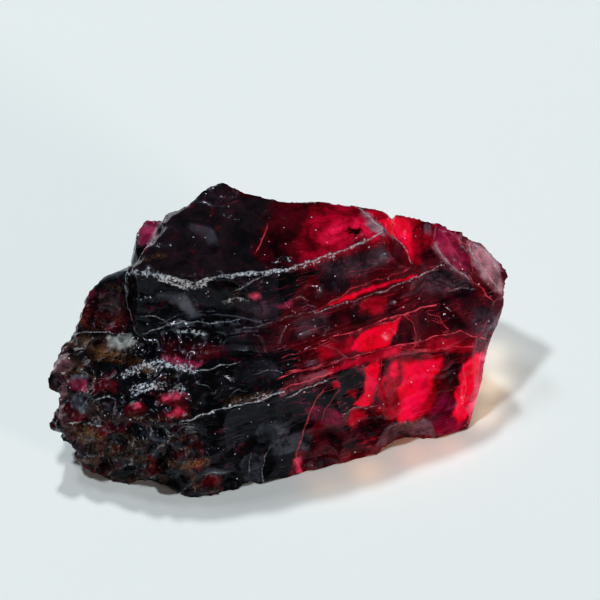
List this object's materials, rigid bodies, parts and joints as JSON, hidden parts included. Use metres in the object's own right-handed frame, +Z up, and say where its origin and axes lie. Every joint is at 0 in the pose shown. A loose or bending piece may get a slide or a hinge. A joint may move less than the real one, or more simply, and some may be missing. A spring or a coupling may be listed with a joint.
{
  "type": "rough garnet crystal",
  "caption": "Broken chunk of rough dark red garnet with a flat crest, stepped parting ledges down its front, a lumpy weathered end and a clear glassy end, lying on its flat underside.",
  "frame": {"origin": "on the flat resting face, under the middle of the stone's box", "axes": "+X along the parting ledges toward the clear red end, +Y away from the ledged front, +Z up from the flat underside"},
  "size_m": [0.0236, 0.0134, 0.0089],
  "materials": {
    "garnet": "glassy broken faces, clear deep red at one end and nearly black with rusty, frosted knobs at the other"
  },
  "bodies": {
    "root": {"garnet": "garnet"}
  },
  "joints": []
}
